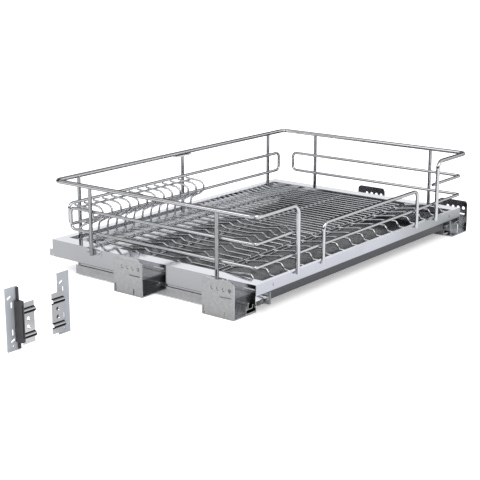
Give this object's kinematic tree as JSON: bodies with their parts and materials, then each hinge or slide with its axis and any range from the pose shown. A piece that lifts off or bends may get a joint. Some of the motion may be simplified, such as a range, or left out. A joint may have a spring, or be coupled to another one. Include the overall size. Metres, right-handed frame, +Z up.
{
  "type": "pull-out dish rack",
  "caption": "Pull-out wire dish rack for a base cabinet: fenced wire tray with a bowl rack and drip tray on undermount slides, with angle brackets and a pair of door-panel brackets.",
  "frame": {"origin": "on the cabinet floor, under the middle of the tray's footprint, at the level of the bracket feet", "axes": "+X to the right along the front, +Y to the back of the cabinet, +Z up"},
  "size_m": [1.0875, 0.496, 0.176],
  "materials": {
    "polished_wire": "polished",
    "tray_sheet": "satin",
    "front_sheet": "satin",
    "drip_sheet": "satin",
    "bright_steel": "satin",
    "black_plastic": "moulded, fine grain",
    "grey_plastic": "moulded, fine grain",
    "zinc_steel": "zinc plated",
    "clip_steel": "polished",
    "cage_plastic": "moulded",
    "roller_steel": "ground"
  },
  "bodies": {
    "cabinet": {"cabinet_bracket_front_left": "zinc_steel", "cabinet_bracket_rear_left": "zinc_steel", "cabinet_bracket_front_right": "zinc_steel", "cabinet_bracket_rear_right": "zinc_steel", "fixed_rail_left": "zinc_steel", "fixed_rail_right": "zinc_steel", "rail_rivets": "bright_steel", "rear_stops": "grey_plastic", "door_plate_left": "zinc_steel", "door_plate_right": "zinc_steel", "adjuster_block_left": "black_plastic", "adjuster_block_right": "black_plastic", "clip_plate_left": "clip_steel", "clip_plate_right": "clip_steel"},
    "tray": {"frame_left": "tray_sheet", "frame_right": "tray_sheet", "frame_front": "front_sheet", "frame_back": "tray_sheet", "rear_hooks": "tray_sheet", "drawer_member_left": "zinc_steel", "drawer_member_right": "zinc_steel", "top_rail": "polished_wire", "side_wire": "polished_wire", "back_loop": "polished_wire", "front_guard": "polished_wire", "side_posts": "polished_wire", "back_posts": "polished_wire", "rail_splice": "polished_wire", "post_tabs": "tray_sheet", "post_screws": "bright_steel", "plate_wires": "polished_wire", "flat_wires": "polished_wire", "front_wires": "polished_wire", "cross_rods": "polished_wire", "band_rods": "polished_wire", "bowl_wires": "polished_wire", "bowl_rods": "polished_wire", "lock_clip_left": "grey_plastic", "lock_clip_right": "grey_plastic", "lever_pins": "bright_steel"},
    "drip_tray": {"drip_tray": "drip_sheet"},
    "middle_member_left": {"middle_member_left": "zinc_steel"},
    "lower_cage_left": {"lower_cage_left": "cage_plastic", "lower_rollers_left": "roller_steel"},
    "upper_cage_left": {"upper_cage_left": "cage_plastic", "upper_rollers_left": "roller_steel"},
    "release_lever_left": {"release_lever_left": "grey_plastic"},
    "middle_member_right": {"middle_member_right": "zinc_steel"},
    "lower_cage_right": {"lower_cage_right": "cage_plastic", "lower_rollers_right": "roller_steel"},
    "upper_cage_right": {"upper_cage_right": "cage_plastic", "upper_rollers_right": "roller_steel"},
    "release_lever_right": {"release_lever_right": "grey_plastic"}
  },
  "joints": [
    {"name": "tray_slide", "type": "slide", "parent": "cabinet", "child": "tray", "axis": [0, -1, 0], "range_m": [0, 0.38]},
    {"name": "drip_tray_slide", "type": "slide", "parent": "tray", "child": "drip_tray", "axis": [0, -1, 0], "range_m": [0, 0.4]},
    {"name": "middle_member_left_slide", "type": "slide", "parent": "cabinet", "child": "middle_member_left", "axis": [0, -1, 0], "range_m": [0, 0.19]},
    {"name": "lower_cage_left_slide", "type": "slide", "parent": "cabinet", "child": "lower_cage_left", "axis": [0, -1, 0], "range_m": [0, 0.095]},
    {"name": "upper_cage_left_slide", "type": "slide", "parent": "cabinet", "child": "upper_cage_left", "axis": [0, -1, 0], "range_m": [0, 0.285]},
    {"name": "release_lever_left_hinge", "type": "hinge", "parent": "tray", "child": "release_lever_left", "pos_m": [-0.311, -0.2, 0.017], "axis": [1, 0, 0], "range_deg": [0, 8], "stiffness_Nm_per_rad": 0.5, "springref_deg": -2.86},
    {"name": "middle_member_right_slide", "type": "slide", "parent": "cabinet", "child": "middle_member_right", "axis": [0, -1, 0], "range_m": [0, 0.19]},
    {"name": "lower_cage_right_slide", "type": "slide", "parent": "cabinet", "child": "lower_cage_right", "axis": [0, -1, 0], "range_m": [0, 0.095]},
    {"name": "upper_cage_right_slide", "type": "slide", "parent": "cabinet", "child": "upper_cage_right", "axis": [0, -1, 0], "range_m": [0, 0.285]},
    {"name": "release_lever_right_hinge", "type": "hinge", "parent": "tray", "child": "release_lever_right", "pos_m": [0.311, -0.2, 0.017], "axis": [1, 0, 0], "range_deg": [0, 8], "stiffness_Nm_per_rad": 0.5, "springref_deg": -2.86}
  ],
  "couplings": [
    {"joint": "middle_member_left_slide", "follows": "tray_slide", "ratio": 0.5},
    {"joint": "lower_cage_left_slide", "follows": "tray_slide", "ratio": 0.25},
    {"joint": "upper_cage_left_slide", "follows": "tray_slide", "ratio": 0.75},
    {"joint": "middle_member_right_slide", "follows": "tray_slide", "ratio": 0.5},
    {"joint": "lower_cage_right_slide", "follows": "tray_slide", "ratio": 0.25},
    {"joint": "upper_cage_right_slide", "follows": "tray_slide", "ratio": 0.75}
  ]
}
